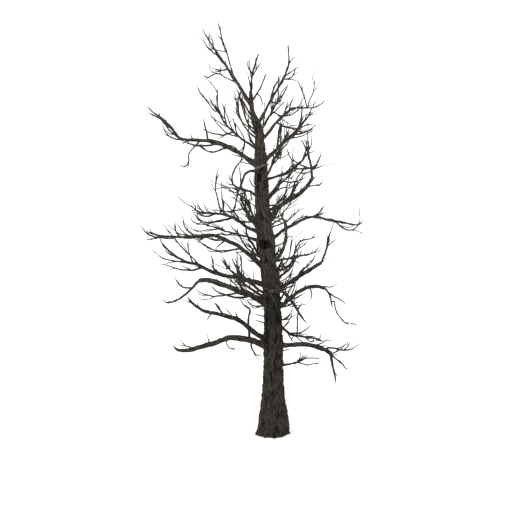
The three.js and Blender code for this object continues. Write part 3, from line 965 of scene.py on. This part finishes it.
# open sky between the limbs, seen from the front: middle x, middle z, half width, half height, all in m
skyGaps = [
    (-2.55, 4.35, .75, .32), (-3.05, 3.8, .7, .2), (-1.75, 3.95, .35, .25), (-2.5, 5.9, .5, .35),
    (-1.65, 5.2, .3, .22), (1.75, 3.95, .6, .3), (1.35, 5.05, .3, .3), (2.35, 5.2, .5, .35),
    (2.0, 6.2, .45, .3), (1.75, 9.1, .45, .35), (-1.7, 10.35, .45, .3), (-2.6, 11.6, .4, .35),
    (-.95, 11.75, .22, .4), (1.2, 4.55, .2, .18), (-3.3, 6.7, .3, .15), (-2.8, 9.3, .3, .4),
    (-.3, 13.6, .2, .2), (.6, 13.4, .2, .35), (1.2, 2.2, .5, .3), (-1.6, 2.3, .7, .5),
]


def allowed(points):
    if not inBox(points):
        return False
    for x, z, halfWidth, halfHeight in skyGaps:
        if (((points[:, 0] - x) / halfWidth) ** 2 + ((points[:, 2] - z) / halfHeight) ** 2 < 1).any():
            return False
    for point in points[2:]:
        centre, radius = trunkAt(point[2])
        if math.hypot(point[0] - centre[0], point[1] - centre[1]) < radius * twigRules["trunkClearance"]:
            return False
    return True


def growOn(carriers, habit, rng):
    grown = []
    for strand in carriers:
        arc = arcLengths(strand["points"])
        length = arc[-1] - strand.get("buried", 0.0)
        if length < habit["leastCarrier"]:
            continue
        every = habit["every"] / twigGrowth.get(strand.get("name"), 1.0)
        share = habit["from"] + rng.uniform(0, every) / length
        side = rng.choice((-1, 1))
        while share < twigRules["until"]:
            place, direction, radius = pointAlong(strand, share)
            bearing, rise = headingOf(direction)
            reach = habit["longest"] * rng.uniform(*twigRules["reach"])
            reach *= twigRules["footReach"] - twigRules["shortening"] * share
            reach = max(habit["shortest"], min(reach, twigRules["carrierShare"] * length))
            tipRange = habit["droopRise" if rng.random() < habit["droopShare"] else "tipRise"]
            for attempt in range(twigRules["tries"]):
                bear = bearing + side * drawAngle(rng, habit["spread"])
                footRise = rise + drawAngle(rng, habit["lift"])
                tipRise = drawAngle(rng, tipRange)
                girth = habit["girth"] / 2 * rng.uniform(*twigRules["girthShare"])
                shoot = growShoot(rng, place, bear, footRise, tipRise, reach,
                    min(radius * twigRules["mostGirth"], girth), habit)
                if allowed(shoot["points"]):
                    grown.append(shoot)
                    break
                reach *= twigRules["cutBack"]
            side = -side
            share += every * rng.uniform(*twigRules["gap"]) / length
    return grown


def growKind(name, carriers):
    return growOn(carriers, twigHabits[name], random.Random(chances[name]))


twigStrands = growKind("twigs", [*limbs.values(), *sideStrands])
twigletStrands = growKind("twiglets", [*sideStrands, *twigStrands])
print("twigs:", len(twigStrands), "twiglets:", len(twigletStrands))


# pieces of wood
def tubePiece(name, strands, shape):
    piece = realized(name, strandMesh(name + "Lines", strands), woodTube, skinValues(shape))
    print(name + ":", triangleCount(piece), "triangles")
    return piece


boughStarts = {"boughsLeft": "left", "boughsRight": "right", "boughsTopAndBack": ("top", "back")}
boughGroups = {groupName: [name for name in limbs if name.startswith(start)]
               for groupName, start in boughStarts.items()}
boughPieces = {groupName: tubePiece(groupName, [limbs[name] for name in names], limbShape)
               for groupName, names in boughGroups.items()}

shootPieces = {
    "sideBranches": {"spacing": 0.05, "sides": 8, "plateWidth": 0.02, "plateLength": 0.14, "relief": 0.005,
                     "bark": "limbBark"},
    "twigs": {"spacing": 0.04, "sides": 6, "plateWidth": 0.012, "plateLength": 0.1, "relief": 0.0025,
              "bark": "twigWood"},
    "twiglets": {"spacing": 0.04, "sides": 5, "plateWidth": 0.01, "plateLength": 0.08, "relief": 0.001,
                 "bark": "twigWood"},
}


def shootPiece(name, strands):
    shape = shootPieces[name]
    smooth = []
    for strand in strands:
        points, radii = smoothStrand(strand["points"], strand["radii"], shape["spacing"])
        smooth.append({**strand, "points": points, "radii": radii})
    return tubePiece(name, smooth, shape)


sidePiece = shootPiece("sideBranches", sideStrands + drapedStrands)
twigPiece = shootPiece("twigs", twigStrands)
twigletPiece = shootPiece("twiglets", twigletStrands)


# floor, light and camera
studio = {
    "floorSize": 400.0, "floorHeight": -0.001, "floorTone": (0.9, 0.9, 0.89), "surround": 1.36,
    "keyStrength": 0.9, "keySoftness": 16, "keyTilt": 48, "keyBearing": -32,
}
viewpoint = {"place": (-0.655, -26.0, 6.83), "lens": 47.48, "sensor": 36.0, "farthest": 1000.0}


def makeStage():
    half = studio["floorSize"] / 2
    mesh = bpy.data.meshes.new("floor")
    corners = [(x * half, y * half, studio["floorHeight"]) for x, y in ((-1, -1), (1, -1), (1, 1), (-1, 1))]
    mesh.from_pydata(corners, [], [(0, 1, 2, 3)])
    floor = putInScene("floor", mesh)
    paint = bpy.data.materials.new("paleFloor")
    paint.use_nodes = True
    shader = paint.node_tree.nodes["Principled BSDF"]
    shader.inputs["Base Color"].default_value = (*studio["floorTone"], 1.0)
    shader.inputs["Roughness"].default_value = 1.0
    shader.inputs["Specular IOR Level"].default_value = 0.0
    mesh.materials.append(paint)


def makeLight():
    world = bpy.data.worlds.new("studio")
    world.use_nodes = True
    surround = world.node_tree.nodes["Background"]
    surround.inputs["Color"].default_value = (1.0, 1.0, 1.0, 1.0)
    surround.inputs["Strength"].default_value = studio["surround"]
    bpy.context.scene.world = world
    key = bpy.data.lights.new("key", "SUN")
    key.energy = studio["keyStrength"]
    key.angle = math.radians(studio["keySoftness"])
    lamp = putInScene("key", key)
    lamp.rotation_euler = (math.radians(studio["keyTilt"]), 0.0, math.radians(studio["keyBearing"]))


def makeCamera():
    data = bpy.data.cameras.new("view")
    data.lens = viewpoint["lens"]
    data.sensor_width = viewpoint["sensor"]
    data.clip_end = viewpoint["farthest"]
    camera = putInScene("view", data)
    camera.location = viewpoint["place"]
    camera.rotation_euler = (math.radians(90), 0.0, 0.0)
    bpy.context.scene.camera = camera


makeStage()
makeLight()
makeCamera()
bpy.context.scene.view_settings.view_transform = "Standard"
print("stage, light and camera set")


# the frame is told what each piece is
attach(trunkBark, "root")
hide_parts("trunk")
for groupName, piece in boughPieces.items():
    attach(piece, "root")
    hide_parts(*boughGroups[groupName])
for piece in (sidePiece, twigPiece, twigletPiece):
    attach(piece, "root")
